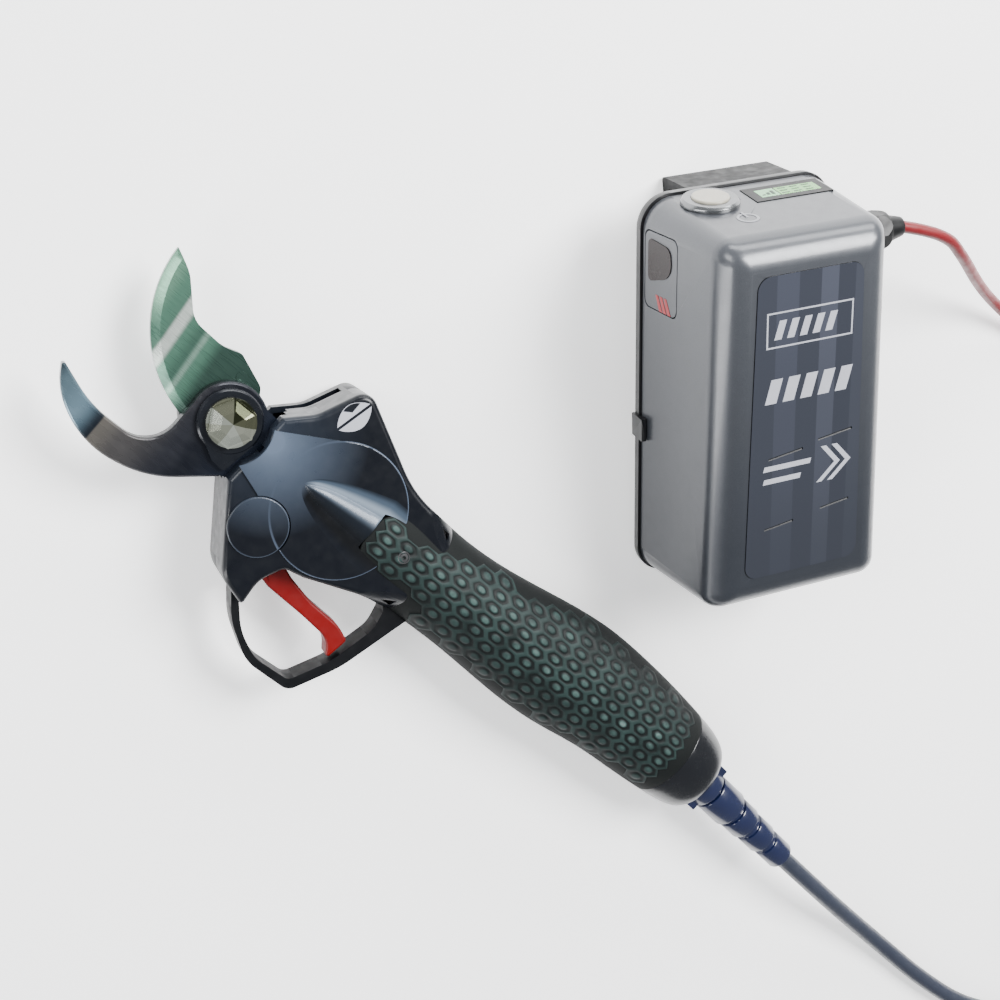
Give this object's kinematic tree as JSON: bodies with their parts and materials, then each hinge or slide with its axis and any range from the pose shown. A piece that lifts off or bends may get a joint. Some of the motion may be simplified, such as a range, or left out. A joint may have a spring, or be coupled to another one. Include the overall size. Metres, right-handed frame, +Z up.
{
  "type": "battery electric pruner",
  "caption": "Hand-held electric pruning shear with hooked counter blade, textured grip and trigger, on a lead to a belt-worn battery pack with display and power button.",
  "frame": {"origin": "middle of the footprint of the pruner and the battery pack, on the surface they lie on, measured without the leads", "axes": "+Z up; +Y away from the user past the top end of the pack; +X from the pruner towards the pack. The pruner lies on its side with its handle 42.9 degrees clockwise of +X, and the pack lies on its back, turned 7 degrees, with its top end raised 10 degrees by the belt hook"},
  "size_m": [0.5102, 0.4068, 0.0797],
  "materials": {
    "blade_steel": "satin, tinted non-stick coating",
    "hook_steel": "dark satin coated steel",
    "bolt_steel": "polished",
    "lock_ring_black": "black",
    "bush_bronze": "machined",
    "gear_steel": "ground and oiled",
    "motor_steel": "turned",
    "spring_steel": "drawn wire",
    "head_black": "satin black painted alloy",
    "board_green": "circuit board",
    "guard_black": "moulded",
    "trigger_red": "glossy",
    "grip_rubber": "textured with hexagon cells",
    "cap_black": "glossy",
    "relief_rubber": "semi-gloss",
    "pack_grey": "silver-grey metallic",
    "pack_black": "satin black",
    "label_slate": "printed film",
    "button_silver": "satin chromed",
    "button_cream": "glossy",
    "display_green": "backlit",
    "display_body": "matte",
    "mark_red": "printed",
    "cell_foil": "foil",
    "lead_dark": "smooth jacket",
    "lead_red": "smooth jacket"
  },
  "bodies": {
    "root": {"hook_blade": "hook_steel", "pivot_bolt": "bolt_steel", "lock_ring": "lock_ring_black", "pivot_nut": "bolt_steel", "pivot_bush": "bush_bronze", "hook_screws": "bolt_steel", "head_rear": "head_black", "head_front": "head_black", "head_screws": "bolt_steel", "gear_cover": "head_black", "small_cover": "head_black", "lower_bearing": "gear_steel", "gearbox": "gear_steel", "motor_can": "motor_steel", "control_board": "board_green", "trigger_pin": "bolt_steel", "trigger_spring": "spring_steel", "trigger_sensor": "board_green", "trigger_guard": "guard_black", "rubber_grip": "grip_rubber", "handle_front": "guard_black", "handle_rear": "guard_black", "end_cap": "cap_black", "strain_relief": "relief_rubber", "pack_back_plate": "pack_black", "pack_front_shell": "pack_grey", "pack_gasket": "relief_rubber", "label_panel": "label_slate", "belt_hook": "pack_black", "pack_screws": "bolt_steel", "button_bezel": "button_silver", "button_nut": "pack_black", "button_spring": "spring_steel", "display_window": "display_green", "display_module": "display_body", "power_ring": "mark_red", "charge_socket": "pack_black", "pouch_cells": "cell_foil", "bms_board": "board_green", "lead_gland": "pack_black", "gland_nut": "pack_black", "tool_lead": "lead_dark", "lead_coil": "lead_dark", "lead_plug": "pack_black", "lead_socket": "pack_black", "pack_lead": "lead_red"},
    "blade": {"cutting_blade": "blade_steel", "drive_sector": "gear_steel", "sector_rivets": "bolt_steel", "blade_fitting": "bolt_steel"},
    "cross_shaft": {"cross_shaft": "gear_steel", "spur_pinion": "gear_steel", "bevel_gear": "gear_steel"},
    "output_shaft": {"output_shaft": "gear_steel", "bevel_pinion": "gear_steel"},
    "motor_rotor": {"motor_rotor": "gear_steel"},
    "trigger": {"trigger": "trigger_red"},
    "power_button": {"power_button": "button_cream"},
    "charge_door": {"charge_door": "pack_grey", "door_window": "display_body"}
  },
  "joints": [
    {"name": "blade_swing", "type": "hinge", "parent": "root", "child": "blade", "pos_m": [-0.0952, 0.0632, 0.0175], "axis": [0, 0, 1], "range_deg": [0, 52]},
    {"name": "cross_shaft_spin", "type": "hinge", "parent": "root", "child": "cross_shaft", "pos_m": [-0.05967, 0.03019, 0.0175], "axis": [0, 0, 1], "range_deg": [-245.71, 1]},
    {"name": "output_shaft_spin", "type": "hinge", "parent": "root", "child": "output_shaft", "pos_m": [-0.05967, 0.03019, 0.0175], "axis": [0.7627, -0.6468, 0], "range_deg": [-1, 551.59]},
    {"name": "motor_spin", "type": "hinge", "parent": "root", "child": "motor_rotor", "pos_m": [-0.05967, 0.03019, 0.0175], "axis": [0.7627, -0.6468, 0], "range_deg": [-1, 1983.12]},
    {"name": "trigger_pull", "type": "hinge", "parent": "root", "child": "trigger", "pos_m": [-0.08525, 0.01368, 0.0175], "axis": [0, 0, 1], "range_deg": [0, 12], "stiffness_Nm_per_rad": 0.4, "springref_deg": -11.46, "deforming": ["trigger_spring"]},
    {"name": "power_button_press", "type": "slide", "parent": "root", "child": "power_button", "axis": [0.1171, -0.9541, -0.2756], "range_m": [0, 0.0016], "stiffness_N_per_m": 900, "springref_m": -0.001, "deforming": ["button_spring"]},
    {"name": "charge_door_swing", "type": "hinge", "parent": "root", "child": "charge_door", "pos_m": [0.05634, 0.11014, 0.02813], "axis": [0.0968, -0.98, -0.1736], "range_deg": [0, 95]}
  ],
  "couplings": [
    {"joint": "cross_shaft_spin", "follows": "blade_swing", "ratio": -4.7059},
    {"joint": "output_shaft_spin", "follows": "blade_swing", "ratio": 10.588},
    {"joint": "motor_spin", "follows": "blade_swing", "ratio": 38.118}
  ]
}
